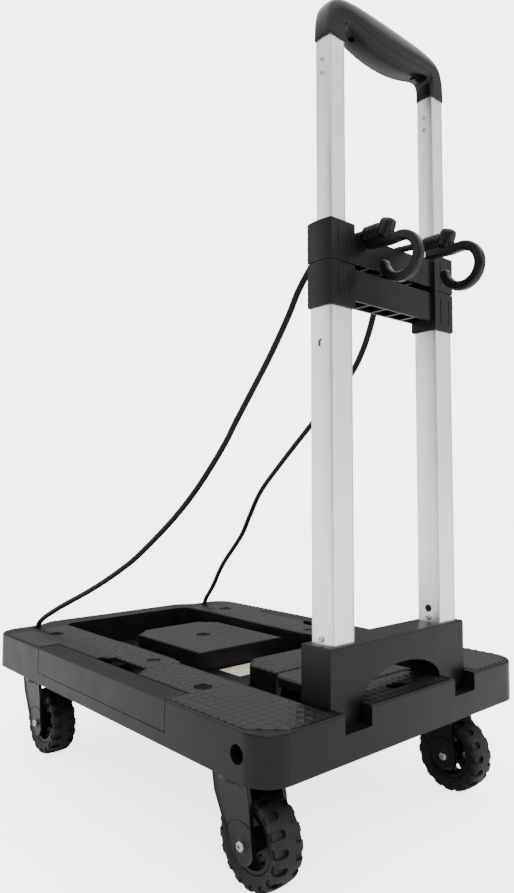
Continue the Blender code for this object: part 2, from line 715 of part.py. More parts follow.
def make_screws():
    """One screw under each end of the grip, and one on the side face of each lower tube."""
    for side, s in (("left", -1), ("right", 1)):
        smooth(cylinder((s * 52, TUBE_Y), 2.5, 822, 825.6, sides=8, name=f"grip_screw_{side}", finish=ZINC))
        face = s * TUBE_X - LOWER_TUBE[0] / 2
        smooth(cylinder((TUBE_Y, 213.5), 2.9, face - 1.9, face - GAP, axis="x", sides=10,
                        name=f"base_screw_{side}", finish=ZINC))


# ---------------------------------------------------------------- cords and hooks

def curve_points(route, step=17.0):
    """Points about a step apart on a smooth curve through the route."""
    ends = [Vector(p) for p in route]
    ends = [ends[0] * 2 - ends[1], *ends, ends[-1] * 2 - ends[-2]]
    points = []
    for a, b, c, d in zip(ends, ends[1:], ends[2:], ends[3:]):
        pieces = max(1, round((c - b).length / step))
        for i in range(pieces):
            t = i / pieces
            points.append(0.5 * ((2 * b) + (c - a) * t + (2 * a - 5 * b + 4 * c - d) * t ** 2
                                 + (3 * b - a - 3 * c + d) * t ** 3))
    return points + [ends[-2]]


def make_cord(side, route):
    points = curve_points(route)
    curve = bpy.data.curves.new(f"cord_{side}", "CURVE")
    curve.dimensions = "3D"
    curve.bevel_depth = CORD_RADIUS * MM
    curve.bevel_resolution = 2
    curve.use_fill_caps = True
    spline = curve.splines.new("POLY")
    spline.points.add(len(points) - 1)
    for point, place in zip(spline.points, points):
        point.co = (*(place * MM), 1.0)
    obj = bpy.data.objects.new(f"cord_{side}", curve)
    bpy.context.scene.collection.objects.link(obj)
    curve.materials.append(material(ELASTIC))
    return obj


def make_knot(side, s):
    return smooth(cylinder((s * CORD_HOLE[0], CORD_HOLE[1]), 7.0, 136, 145.7, sides=10,
                           name=f"cord_knot_{side}", finish=ELASTIC))


def make_hook(side):
    """Shank under the sleeve, screw boss, and a loop that curls back towards the bar."""
    x, end = HOOKS[side]
    centre = (end - 43.0, 578.0)
    outer = arc(centre, 25.0, 80, 348, 22)
    inner = arc(centre, 15.5, 348, 92, 20)
    end_angle = math.radians(348)
    tip_centre = (centre[0] + 20.2 * math.cos(end_angle), centre[1] + 20.2 * math.sin(end_angle))
    tip = arc(tip_centre, 4.6, 348, 528, 5)
    outline = [(end - 1.5, 603.5), (end - 30, 603.5)] + outer + tip[1:-1] + inner
    outline += [(end - 33, 592.5), (end - 1.5, 594.5)]
    hook = prism(outline, x - 4.5, x + 4.5, axis="x", name=f"hook_{side}", finish=PLASTIC)
    boss = cylinder((x, end - 25.5), 7.5, 598, 621, sides=14)
    join(hook, boss)
    cut(hook, cylinder((x, end - 25.5), 3.2, 612, 625, sides=10))
    return smooth(hook)


def make_sleeve(side):
    """Ribbed sleeve that grips the cord's end."""
    x, end = HOOKS[side]
    rings = []
    for i in range(12):
        y = end - i * 1.5
        radius = 7.9 if i % 2 else 6.9
        rings.append([(a, y, b) for a, b in circle((x, SLEEVE_Z), radius, 12)])
    return smooth(loft(rings, name=f"hook_sleeve_{side}", finish=PLASTIC))


def make_hook_screw(side):
    x, end = HOOKS[side]
    return smooth(cylinder((x, end - 25.5), 2.8, 612.4, 617.0, sides=8,
                           name=f"hook_screw_{side}", finish=ZINC))


# ---------------------------------------------------------------- assembly

def hang_on(name, place, pieces):
    """An empty on a joint's axis, with the pieces that turn about it as its children."""
    pivot = bpy.data.objects.new(name, None)
    pivot.location = Vector(place) * MM
    bpy.context.scene.collection.objects.link(pivot)
    for piece in pieces:
        obj = bpy.data.objects[piece]
        obj.parent = pivot
        obj.matrix_parent_inverse = Matrix.Translation(-pivot.location)


def make_pivots():
    stages = ["handle_base", "lower_crossbar", "upper_crossbar", "grip"]
    paired = ["base_screw", "lower_tube", "middle_tube", "lock_plug", "upper_tube", "stop_plug",
              "grip_screw", "hook", "hook_sleeve", "hook_screw"]
    stages += [f"{piece}_{side}" for piece in paired for side in HOOKS]
    hang_on("handle_pivot", (0, PIVOT_Y, PIVOT_Z), stages)
    hang_on("lid_pivot", (0, LID_AXIS_Y, LID_AXIS_Z), ["fold_lid"])
    for tag, x, y in caster_places():
        hang_on(f"swivel_{tag}", (x, y, SKIRT_BOTTOM), [f"fork_{tag}", f"axle_bolt_{tag}"])
        hang_on(f"axle_{tag}", (x, y - TRAIL, WHEEL_RADIUS), [f"hub_{tag}", f"tyre_{tag}"])


def main():
    clear_scene()
    make_deck()
    make_lid()
    make_lid_pin()
    make_hinge_rod()
    make_label()
    mirrored(make_extension(), "extension_right")
    for tag, x, y in caster_places():
        make_caster(tag, x, y)
    make_base()
    for s in (-1, 1):
        make_lower_tube(s)
        make_middle_tube(s)
        make_upper_tube(s)
        make_guide_plug(s)
        make_upper_plug(s)
    make_lower_crossbar()
    make_upper_crossbar()
    make_grip()
    make_screws()
    for side, s, route in (("left", -1, LEFT_ROUTE), ("right", 1, RIGHT_ROUTE)):
        make_cord(side, route)
        make_knot(side, s)
        make_hook(side)
        make_sleeve(side)
        make_hook_screw(side)
    make_pivots()


main()
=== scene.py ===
# %% [markdown]
# # A folding platform cart
# The measured model of the cart is already there as a frame: every moving part is in its place and
# at its size. This lesson gives it its looks. Pieces whose shape is right get rounded edges and a
# material. Pieces whose surface is richer than the frame's plain solids are modelled again:
# cords, hooks, tyres, tubes, grip, screws and the anti-slip field of the deck.

# %% Load the frame
import json
import math

import bmesh
import bpy
from mathutils import Matrix, Vector

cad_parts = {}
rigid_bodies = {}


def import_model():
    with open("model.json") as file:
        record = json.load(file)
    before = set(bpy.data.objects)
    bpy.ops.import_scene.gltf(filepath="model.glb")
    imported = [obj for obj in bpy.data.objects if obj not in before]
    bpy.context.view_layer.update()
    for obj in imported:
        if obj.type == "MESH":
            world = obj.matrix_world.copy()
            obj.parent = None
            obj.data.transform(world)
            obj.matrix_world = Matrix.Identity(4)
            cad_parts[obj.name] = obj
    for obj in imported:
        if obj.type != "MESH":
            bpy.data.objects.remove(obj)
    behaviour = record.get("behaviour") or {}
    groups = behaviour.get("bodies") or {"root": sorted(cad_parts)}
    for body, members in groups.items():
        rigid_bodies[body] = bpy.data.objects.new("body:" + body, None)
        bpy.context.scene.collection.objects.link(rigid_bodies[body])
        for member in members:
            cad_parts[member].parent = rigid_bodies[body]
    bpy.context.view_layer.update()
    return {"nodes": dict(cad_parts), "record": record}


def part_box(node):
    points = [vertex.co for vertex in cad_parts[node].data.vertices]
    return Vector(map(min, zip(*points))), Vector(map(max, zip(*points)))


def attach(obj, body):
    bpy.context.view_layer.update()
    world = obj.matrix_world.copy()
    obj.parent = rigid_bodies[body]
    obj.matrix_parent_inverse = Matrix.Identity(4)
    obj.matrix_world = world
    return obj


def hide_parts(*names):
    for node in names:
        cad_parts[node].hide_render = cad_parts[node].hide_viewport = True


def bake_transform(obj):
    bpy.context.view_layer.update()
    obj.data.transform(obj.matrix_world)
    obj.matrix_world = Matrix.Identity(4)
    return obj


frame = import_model()
MM = 0.001
SIDES = {"left": -1, "right": 1}
TUBE_Y = -260.6  # where the handle's tubes stand, in mm

# %% [markdown]
# The camera stands low behind the handle, to its left, and looks along the deck.
# A shot like this keeps the handle upright, so the lens is shifted a little in place of
# tilting the camera more.

# %% Camera
camera_data = bpy.data.cameras.new("camera")
camera_data.lens = 28.23
camera_data.shift_x = -0.0202
camera_data.shift_y = -0.0073
camera = bpy.data.objects.new("camera", camera_data)
camera.location = (-0.5793, -0.7258, 0.3578)
camera.rotation_euler = (math.radians(93.691), 0, math.radians(-42.121))
bpy.context.scene.collection.objects.link(camera)
bpy.context.scene.camera = camera

# %% [markdown]
# A black product wants large, soft lights: what is seen on satin plastic and metal is mostly the
# reflection of the lamps. Two wide panels stand where the tubes' flat walls mirror them, and a small
# strong one behind the camera draws the thin highlights on rounded edges. A sun lamp with a very
# wide angle acts as an endless overhead softbox and whitens the floor evenly. The room is dim, so
# that black stays black, and only the backdrop behind the cart is white.


# %% Light and floor
def panel_light(name, place, target, size, power):
    data = bpy.data.lights.new(name, "AREA")
    data.shape = "RECTANGLE"
    data.size, data.size_y = size
    data.energy = power
    lamp = bpy.data.objects.new(name, data)
    lamp.location = place
    aim = Vector(target) - Vector(place)
    lamp.rotation_euler = aim.to_track_quat("-Z", "Y").to_euler()
    bpy.context.scene.collection.objects.link(lamp)


panel_light("far left panel", (-2.2, 2.4, 1.0), (0, 0, 0.4), (2.4, 2.6), 34)
panel_light("near right panel", (2.0, -2.4, 1.0), (0, 0, 0.4), (2.4, 2.6), 27)
panel_light("edge panel", (-1.5, -2.4, 2.0), (0, 0, 0.3), (0.9, 0.9), 26)

overhead = bpy.data.lights.new("overhead softbox", "SUN")
overhead.energy = 5.2
overhead.angle = math.radians(110)
bpy.context.scene.collection.objects.link(bpy.data.objects.new("overhead softbox", overhead))

ROOM, BACKDROP = 0.30, 5.0
world = bpy.data.worlds.new("tent")
world.use_nodes = True
tent = world.node_tree
backdrop = tent.nodes["Background"]
backdrop.inputs["Color"].default_value = (1, 1, 1, 1)
seen = tent.nodes.new("ShaderNodeLightPath")
brightness = tent.nodes.new("ShaderNodeMapRange")
brightness.inputs["To Min"].default_value = ROOM
brightness.inputs["To Max"].default_value = BACKDROP
tent.links.new(seen.outputs["Is Camera Ray"], brightness.inputs["Value"])
tent.links.new(brightness.outputs["Result"], backdrop.inputs["Strength"])
bpy.context.scene.world = world

# %% [markdown]
# Colours are picked as sRGB hex values, because that is how a colour picker shows them, and the
# shader wants linear light, so one function turns them. Another adds a node with its settings
# and its links. Every material below is a Principled shader with a bump or a colour pattern whose
# scale is a real size in millimetres.


# %% Colour and node helpers
def linear(hex_colour):
    channels = [int(hex_colour[i : i + 2], 16) / 255 for i in (1, 3, 5)]
    return (*(c / 12.92 if c <= 0.04045 else ((c + 0.055) / 1.055) ** 2.4 for c in channels), 1)


def add(tree, kind, settings=None, **links):
    """Adds a node. A setting is its own value or, where the name is an input's, that input's."""
    node = tree.nodes.new(kind)
    for name, value in (settings or {}).items():
        if name in node.inputs:
            node.inputs[name].default_value = value
        else:
            setattr(node, name, value)
    for name, source in links.items():
        tree.links.new(source, node.inputs[name.replace("_", " ")])
    return node


def new_material(name, colour, roughness, metallic=0.0, ior=1.5, specular=0.5):
    made = bpy.data.materials.new(name)
    made.use_nodes = True
    shader = made.node_tree.nodes["Principled BSDF"]
    shader.inputs["Base Color"].default_value = linear(colour)
    shader.inputs["Roughness"].default_value = roughness
    shader.inputs["Metallic"].default_value = metallic
    if not metallic:
        shader.inputs["IOR"].default_value = ior
        shader.inputs["Specular IOR Level"].default_value = specular
    return made, made.node_tree, shader


def noise(tree, where, millimetres, detail=2.0, rough=0.5):
    """Noise whose lumps are about that many millimetres across."""
    settings = {"Scale": 1000 / millimetres, "Detail": detail, "Roughness": rough}
    return add(tree, "ShaderNodeTexNoise", settings, Vector=where)


def bump(tree, shader, height, distance_mm, strength=1.0, below=None):
    links = {"Height": height}
    if below:
        links["Normal"] = below.outputs[0]
    made = add(tree, "ShaderNodeBump", {"Strength": strength, "Distance": distance_mm * MM}, **links)
    tree.links.new(made.outputs[0], shader.inputs["Normal"])
    return made


def blend_colours(tree, factor, low, high):
    ramp = add(tree, "ShaderNodeValToRGB", Fac=factor)
    ramp.color_ramp.elements[0].color = linear(low)
    ramp.color_ramp.elements[1].color = linear(high)
    ramp.color_ramp.elements[0].position = 0.3
    ramp.color_ramp.elements[1].position = 0.7
    return ramp


def spread(tree, factor, low, high):
    settings = {"From Min": 0.3, "From Max": 0.7, "To Min": low, "To Max": high}
    return add(tree, "ShaderNodeMapRange", settings, Value=factor)


# %% [markdown]
# ## Plastics
# The deck, handle base and crossbars are black polypropylene, moulded in a spark-eroded tool,
# which leaves a fine satin grain of about 0.3 mm. Grain that fine would vanish at this distance,
# so it is drawn at 0.6 mm. Slow changes of gloss, a few centimetres across, stand for the flow of
# the melt. Up close the colour is never one flat black, so it drifts a little. Nylon and ABS are
# the same recipe with other numbers.


# %% Moulded plastics
def moulded_plastic(name, low, high, gloss, grain_mm, grain_depth, specular):
    made, tree, shader = new_material(name, low, gloss[0], specular=specular)
    here = add(tree, "ShaderNodeTexCoord").outputs["Object"]
    slow = noise(tree, here, 45, 3).outputs["Fac"]
    tree.links.new(blend_colours(tree, slow, low, high).outputs[0], shader.inputs["Base Color"])
    patchy = noise(tree, here, 28, 4).outputs["Fac"]
    tree.links.new(spread(tree, patchy, *gloss).outputs[0], shader.inputs["Roughness"])
    grain = noise(tree, here, grain_mm, 3, 0.6).outputs["Fac"]
    bump(tree, shader, grain, grain_depth)
    return made


satin_polypropylene = moulded_plastic(
    "satin black polypropylene", "#0b0b0c", "#0f0f10", (0.33, 0.42), 0.6, 0.04, 0.18)
textured_polypropylene = moulded_plastic(
    "textured black polypropylene", "#131314", "#191919", (0.36, 0.46), 0.6, 0.05, 0.26)
nylon = moulded_plastic("black nylon", "#0a0a0b", "#0f0f10", (0.28, 0.36), 0.8, 0.03, 0.22)
glossy_abs = moulded_plastic("semi-gloss black ABS", "#060607", "#090909", (0.26, 0.34), 1.2, 0.02, 0.22)

# %% [markdown]
# ## Metals
# The tubes are drawn aluminium with a satin anodised skin. Drawing leaves fine lines along the
# tube, which stretch the reflections sideways, so the bump is noise squeezed to 0.25 mm across
# and pulled out to 60 mm along Z. The screws, pins and caster plates are steel with a
# bright zinc coat, which breaks into faint crystals about a millimetre across.


# %% Aluminium and zinc
def anodised_aluminium():
    made, tree, shader = new_material("satin anodised aluminium", "#e2e3e4", 0.34, metallic=1.0)
    here = add(tree, "ShaderNodeTexCoord").outputs["Object"]
    drawn = add(tree, "ShaderNodeMapping", {"Scale": (4000, 4000, 17)}, Vector=here).outputs[0]
    lines = add(tree, "ShaderNodeTexNoise", {"Scale": 1.0, "Detail": 2.0}, Vector=drawn).outputs["Fac"]
    cloudy = noise(tree, here, 35, 2).outputs["Fac"]
    tree.links.new(spread(tree, cloudy, 0.31, 0.39).outputs[0], shader.inputs["Roughness"])
    tree.links.new(blend_colours(tree, lines, "#dddee0", "#e8e9ea").outputs[0], shader.inputs["Base Color"])
    bump(tree, shader, lines, 0.012)
    return made


def zinc_plate():
    made, tree, shader = new_material("bright zinc plate", "#b4b4b2", 0.28, metallic=1.0)
    here = add(tree, "ShaderNodeTexCoord").outputs["Object"]
    crystals = add(tree, "ShaderNodeTexVoronoi", {"Scale": 900.0}, Vector=here).outputs["Distance"]
    tree.links.new(spread(tree, crystals, 0.22, 0.38).outputs[0], shader.inputs["Roughness"])
    shade = blend_colours(tree, crystals, "#a9a9a6", "#bebebc").outputs[0]
    tree.links.new(shade, shader.inputs["Base Color"])
    return made


satin_aluminium = anodised_aluminium()
bright_zinc = zinc_plate()

# %% [markdown]
# ## Rubber, braid and label film
# Tyre rubber is matt, with dusty patches about 9 mm across that change its colour and gloss. The
# cords are rubber strands in a woven polyester cover: two sets of threads wind round the cord and
# cross, so the pattern is two slanted waves multiplied, laid out on the tube's own map of turns and length.
# The label is a blank cream film, and the floor is a white paper sweep. Seen directly, the paper
# glows a little, so that it meets the backdrop without a line.


# %% Rubber, braid and film
def tyre_rubber():
    made, tree, shader = new_material("matt tyre rubber", "#121212", 0.62, specular=0.3)
    here = add(tree, "ShaderNodeTexCoord").outputs["Object"]
    dust = noise(tree, here, 9, 5, 0.65).outputs["Fac"]
    tree.links.new(blend_colours(tree, dust, "#0f0f0f", "#1b1b1a").outputs[0], shader.inputs["Base Color"])
    tree.links.new(spread(tree, dust, 0.55, 0.72).outputs[0], shader.inputs["Roughness"])
    bump(tree, shader, noise(tree, here, 1.1, 4, 0.7).outputs["Fac"], 0.10)
    return made


def woven_cover():
    """The tube's map holds turns across and 10 mm of length to each unit along."""
    made, tree, shader = new_material("woven polyester cover", "#060606", 0.6, specular=0.2)
    place = add(tree, "ShaderNodeUVMap").outputs[0]
    waves = []
    for lean in (1, -1):
        slanted = add(tree, "ShaderNodeMapping", {"Rotation": (0, 0, lean * 0.62)}, Vector=place).outputs[0]
        waves.append(add(tree, "ShaderNodeTexWave", {"Scale": 1.6}, Vector=slanted).outputs["Fac"])
    crossed = add(tree, "ShaderNodeMath", {"operation": "MULTIPLY"})
    for i in range(2):
        tree.links.new(waves[i], crossed.inputs[i])
    tree.links.new(blend_colours(tree, crossed.outputs[0], "#070707", "#0b0b0b").outputs[0],
                   shader.inputs["Base Color"])
    shader.inputs["Sheen Weight"].default_value = 0.05
    bump(tree, shader, crossed.outputs[0], 0.06)
    return made


def blank_film():
    made, tree, shader = new_material("cream label film", "#b3b09a", 0.42)
    here = add(tree, "ShaderNodeTexCoord").outputs["Object"]
    faded = noise(tree, here, 12, 3).outputs["Fac"]
    tree.links.new(blend_colours(tree, faded, "#a9a690", "#bcb9a4").outputs[0], shader.inputs["Base Color"])
    bump(tree, shader, noise(tree, here, 4, 2).outputs["Fac"], 0.08)
    return made


rubber = tyre_rubber()
braid = woven_cover()
label_film = blank_film()

FLOOR_GLOW, FLOOR_SIZE = 3.0, 14
floor_material, floor_tree, floor_shader = new_material("white paper sweep", "#f4f4f4", 0.9)
floor_place = add(floor_tree, "ShaderNodeTexCoord").outputs["Object"]
bump(floor_tree, floor_shader, noise(floor_tree, floor_place, 3, 2).outputs["Fac"], 0.02)
looked_at = add(floor_tree, "ShaderNodeLightPath").outputs["Is Camera Ray"]
glow = add(floor_tree, "ShaderNodeMath", {"operation": "MULTIPLY"})
floor_tree.links.new(looked_at, glow.inputs[0])
glow.inputs[1].default_value = FLOOR_GLOW
floor_tree.links.new(glow.outputs[0], floor_shader.inputs["Emission Strength"])
floor_shader.inputs["Emission Color"].default_value = (1, 1, 1, 1)
bpy.ops.mesh.primitive_plane_add(size=FLOOR_SIZE, location=(0, 0, -0.2 * MM))
floor = bpy.context.object
floor.name = "floor"
floor.data.materials.append(floor_material)

# %% [markdown]
# ## The two elastic cords
# Each cord is knotted under a hole in the far end of the deck, rises in a lazy curve, crosses over
# the upper crossbar and ends in a hook's ribbed sleeve. A cord is a tube swept along one smooth
# curve through a few given points. It is made in two lengths that meet face to face: a long one
# from the deck and a short one on to the hook.


# %% Sweep a tube along a route
CORD_RADIUS = 3.5 * MM
ROUTES = {
    "left": [
        (-148, 260, 146.4), (-148, 259.8, 153), (-145.6, 250.5, 166), (-138.4, 212.6, 186.5),
        (-123.5, 139.2, 220.5), (-111.1, 78.1, 254), (-103.5, 40.5, 280.2), (-93.5, -8.6, 320.3),
        (-85.9, -46.1, 358), (-78.6, -81.9, 402.1), (-74.4, -101, 431.5), (-70.1, -123.8, 464.3),
        (-65.1, -148.8, 501.5), (-60.3, -172.3, 541), (-57, -186, 568.6), (-53, -202, 592.1),
        (-49.5, -218, 606.5), (-47, -234, 612.2), (-46, -252, 612.6), (-46, -273.7, 612),
    ],
    "right": [
        (148, 260, 146.4), (148, 259.8, 153), (145.2, 250.5, 166), (138.4, 222.5, 190),
        (128.1, 182.5, 230), (111, 115.8, 279.6), (103.5, 86, 312), (93.9, 49.2, 349.3),
        (77.8, -13.6, 389.8), (58.1, -90, 435.2), (45, -142, 465), (34.6, -181.6, 490),
        (29.5, -202.5, 512), (26.4, -216, 534), (24.5, -226, 558), (23.5, -232.5, 582),
        (23.2, -238, 600), (23.5, -246, 611), (23.8, -257, 614), (24, -270, 613.4), (24, -295.7, 612),
    ],
}
LAST_POINT_OF_LONG_LENGTH = {"left": 12, "right": 11}


def smooth_curve(route, step):
    """Points on a smooth curve through the route, and the number of each route point among them."""
    ends = [Vector(p) * MM for p in route]
    ends = [ends[0] * 2 - ends[1], *ends, ends[-1] * 2 - ends[-2]]
    points, falls = [], []
    for a, b, c, d in zip(ends, ends[1:], ends[2:], ends[3:]):
        falls.append(len(points))
        pieces = max(1, round((c - b).length / step))
        for i in range(pieces):
            t = i / pieces
            points.append(0.5 * ((2 * b) + (c - a) * t + (2 * a - 5 * b + 4 * c - d) * t**2
                                 + (3 * b - a - 3 * c + d) * t**3))
    return points + [ends[-2]], [*falls, len(points)]


def tube_along(name, points, radius, sides, finish):
    """A capped tube whose map has one turn across and 10 mm of length to each unit along."""
    data = bmesh.new()
    chart = data.loops.layers.uv.new("wound")
    up = Vector((1, 0, 0))
    rings, run = [], 0.0
    for i, point in enumerate(points):
        ahead = (points[min(i + 1, len(points) - 1)] - points[max(i - 1, 0)]).normalized()
        up = (up - ahead * up.dot(ahead)).normalized()
        side = ahead.cross(up)
        run += (point - points[i - 1]).length if i else 0.0
        ring = [
            data.verts.new(point + (up * math.cos(a) + side * math.sin(a)) * radius)
            for a in (2 * math.pi * k / sides for k in range(sides))
        ]
        rings.append((run / (10 * MM), ring))
    for (low_run, low), (high_run, high) in zip(rings, rings[1:]):
        for k in range(sides):
            n = (k + 1) % sides
            face = data.faces.new((low[k], low[n], high[n], high[k]))
            face.smooth = True
            places = [(k / sides, low_run), ((k + 1) / sides, low_run), ((k + 1) / sides, high_run),
                      (k / sides, high_run)]
            for loop, place in zip(face.loops, places):
                loop[chart].uv = place
    data.faces.new(rings[0][1][::-1])
    data.faces.new(rings[-1][1])
    mesh = bpy.data.meshes.new(name)
    data.to_mesh(mesh)
    data.free()
    mesh.materials.append(finish)
    made = bpy.data.objects.new(name, mesh)
    bpy.context.scene.collection.objects.link(made)
    return made


def long_of(points):
    return sum((b - a).length for a, b in zip(points, points[1:]))


# %% Lay both cords
for side, route in ROUTES.items():
    points, falls = smooth_curve(route, 4 * MM)
    split = falls[LAST_POINT_OF_LONG_LENGTH[side]]
    for part, run in (("long", points[: split + 1]), ("short", points[split:])):
        cord = tube_along(f"cord_{side}_{part}", run, CORD_RADIUS, 16, braid)
        if part == "long":
            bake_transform(cord)
            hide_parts(f"cord_{side}")
        else:
            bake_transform(cord)
        print(f"cord {side} {part}: {long_of(run):.3f} m")

# %% [markdown]
# ## How the pieces are worked
# Three small helpers carry the rest of the lesson: one clears the selection, because operators
# act on whatever is selected; one selects faces, edges or points by a test; and one finishes a
# piece: it applies the modifiers and the place, shades it, gives it its material and hangs it on
# its part of the frame.

# %% Modelling helpers
BODY = {node: body for body, nodes in frame["record"]["behaviour"]["bodies"].items() for node in nodes}
SLOT = {part["node"]: part["material_slot"] for part in frame["record"]["subparts"]}
SLOT_MATERIAL = {
    "deck_plastic": satin_polypropylene,
    "handle_plastic": satin_polypropylene,
    "caster_plastic": nylon,
    "tyre_rubber": rubber,
    "tube_aluminium": satin_aluminium,
    "grip_plastic": glossy_abs,
    "zinc_steel": bright_zinc,
    "hook_plastic": nylon,
    "cord_braid": braid,
    "label_film": label_film,
}


def nothing_selected():
    if bpy.context.mode != "OBJECT":
        bpy.ops.object.mode_set(mode="OBJECT")
    bpy.ops.object.select_all(action="DESELECT")


def hold(obj):
    """Only this object is selected, and it is the active one."""
    nothing_selected()
    obj.select_set(True)
    bpy.context.view_layer.objects.active = obj
    return obj


def edit(obj):
    hold(obj)
    bpy.ops.object.mode_set(mode="EDIT")
    bpy.ops.mesh.select_all(action="SELECT")
    return obj


def pick(kind, test):
    """In edit mode: selects just the faces, edges or verts that pass the test."""
    mode = {"faces": "FACE", "edges": "EDGE", "verts": "VERT"}[kind]
    bpy.ops.mesh.select_mode(type=mode)
    bpy.ops.mesh.select_all(action="DESELECT")
    data = bmesh.from_edit_mesh(bpy.context.object.data)
    chosen = [item for item in getattr(data, kind) if test(item)]
    for item in chosen:
        item.select_set(True)
    data.select_flush_mode()
    bmesh.update_edit_mesh(bpy.context.object.data)
    return len(chosen)


def apply_all(obj):
    hold(obj)
    for modifier in list(obj.modifiers):
        bpy.ops.object.modifier_apply(modifier=modifier.name)
    bpy.ops.object.transform_apply(location=True, rotation=True, scale=True)
    return obj


def carve(obj, *cutters):
    """Takes the cutters out of the piece."""
    for cutter in cutters:
        apply_all(cutter)
        hold(obj)
        modifier = obj.modifiers.new("carve", "BOOLEAN")
        modifier.object = cutter
        bpy.ops.object.modifier_apply(modifier=modifier.name)
        bpy.data.objects.remove(cutter)
    return obj


def round_edges(obj, width_mm, segments=2, angle=35):
    modifier = obj.modifiers.new("round", "BEVEL")
    modifier.width = width_mm * MM
    modifier.segments = segments
    modifier.limit_method = "ANGLE"
    modifier.angle_limit = math.radians(angle)
    modifier.miter_outer = "MITER_ARC" if segments > 1 else "MITER_SHARP"
    apply_all(obj)
    return obj


def deliver(obj, name, body, slot, material=None, stands_for=(), angle=35):
    apply_all(obj)
    obj.name = name
    obj.data.name = name
    obj.data.materials.clear()
    obj.data.materials.append(material or SLOT_MATERIAL[slot])
    bpy.ops.object.shade_smooth_by_angle(angle=math.radians(angle))
    modifier = obj.modifiers.new("flat faces stay flat", "WEIGHTED_NORMAL")
    modifier.keep_sharp = True
    bpy.ops.object.modifier_apply(modifier=modifier.name)
    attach(obj, body)
    if stands_for:
        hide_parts(*stands_for)
    return obj


def worked_copy(node, in_triangles=False):
    """A copy of a frame piece, merged into clean flat faces, ready to be worked on.

    A flat face with several holes in it rounds better when it is cut in triangles first.
    """
    copy = bpy.data.objects.new(f"{node}_finished", frame["nodes"][node].data.copy())
    bpy.context.scene.collection.objects.link(copy)
    edit(copy)
    bpy.ops.mesh.remove_doubles(threshold=0.00001)
    bpy.ops.mesh.dissolve_limited(angle_limit=math.radians(1))
    if in_triangles:
        bpy.ops.mesh.quads_convert_to_tris(ngon_method="BEAUTY")
    bpy.ops.object.mode_set(mode="OBJECT")
    return copy


def deliver_copy(obj, node, **options):
    return deliver(obj, f"{node}_finished", BODY[node], SLOT[node], stands_for=[node], **options)


def joined(pieces):
    """Several pieces as one object. The first one keeps its name."""
    for piece in pieces:
        apply_all(piece)
    nothing_selected()
    for piece in pieces:
        piece.select_set(True)
    bpy.context.view_layer.objects.active = pieces[0]
    bpy.ops.object.join()
    return pieces[0]


def rod(place, radius_mm, length_mm, axis="Z", vertices=24):
    """A cylinder, to be worked on or to carve with. Place is in mm."""
    nothing_selected()
    turn = {"X": (0, math.pi / 2, 0), "Y": (math.pi / 2, 0, 0), "Z": (0, 0, 0)}[axis]
    bpy.ops.mesh.primitive_cylinder_add(vertices=vertices, radius=radius_mm * MM, depth=length_mm * MM,
                                        location=Vector(place) * MM, rotation=turn)
    return bpy.context.object


def block(place, size):
    """A box, to be worked on or to carve with. Place and size are in mm."""
    nothing_selected()
    bpy.ops.mesh.primitive_cube_add(size=1, location=Vector(place) * MM)
    cube = bpy.context.object
    cube.scale = Vector(size) * MM
    return apply_all(cube)


def prism(outline, low, high):
    """A flat outline of (x, y) mm, filled at the low height and extruded to the high one."""
    nothing_selected()
    mesh = bpy.data.meshes.new("prism")
    mesh.from_pydata([(x * MM, y * MM, low * MM) for x, y in outline], [], [range(len(outline))])
    made = bpy.data.objects.new("prism", mesh)
    bpy.context.scene.collection.objects.link(made)
    edit(made)
    bpy.ops.mesh.extrude_region_move(TRANSFORM_OT_translate={"value": (0, 0, (high - low) * MM)})
    bpy.ops.mesh.select_all(action="SELECT")
    bpy.ops.mesh.normals_make_consistent(inside=False)
    bpy.ops.object.mode_set(mode="OBJECT")
    return made


def middle_of(node):
    """The middle of a frame piece's box, in mm."""
    low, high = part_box(node)
    return (low + high) / 2 / MM


def arc(centre, radius, start, end, steps):
    """Points on an arc, from one angle in degrees to another."""
    angles = [math.radians(start + (end - start) * i / steps) for i in range(steps + 1)]
    return [(centre[0] + radius * math.cos(a), centre[1] + radius * math.sin(a)) for a in angles]


def mirror_x(outline):
    return [(-x, y) for x, y in reversed(outline)]


# %% [markdown]
# ## Moulded pieces with soft edges
# No moulded edge is sharp: the tool's corners wear and the melt pulls back from them, and the
# light that catches such an edge is what makes black plastic readable. Each plain frame piece is
# copied, merged into flat faces, and given rounded edges by a Bevel modifier. The deck's edges
# are rounded by a full millimetre, and small fittings by less.

# %% Soften the moulded pieces
EDGE_MM = {
    "handle_base": 1.2,
    "lower_crossbar": 0.35,
    "upper_crossbar": 0.35,
    "extension_left": 0.8,
    "extension_right": 0.8,
}
for node, width in EDGE_MM.items():
    piece = worked_copy(node, in_triangles="crossbar" in node)
    round_edges(piece, width, segments=3 if width > 1 else 2)
    deliver_copy(piece, node)
print("softened:", ", ".join(EDGE_MM))

# %% [markdown]
# ## The hooks
# A hook is a strap bent into a loop, with a deep web under a ribbed sleeve that grips the cord's
# end. A lump with an oval recess holds the clamping screw. The strap is drawn from the side and
# extruded across, the lump is a heavily rounded block, and the sleeve is a rod with rounded rings.


# %% Hooks
STRAP_HALF, SLEEVE_Z = 4.5, 609.8
SIDEWAYS = Matrix(((0, 0, 1, 0), (1, 0, 0, 0), (0, 1, 0, 0), (0, 0, 0, 1)))


def merged(obj, *others):
    """One closed body out of several that overlap."""
    for other in others:
        apply_all(other)
        hold(obj)
        modifier = obj.modifiers.new("merge", "BOOLEAN")
        modifier.operation = "UNION"
        modifier.object = other
        bpy.ops.object.modifier_apply(modifier=modifier.name)
        bpy.data.objects.remove(other)
    return obj


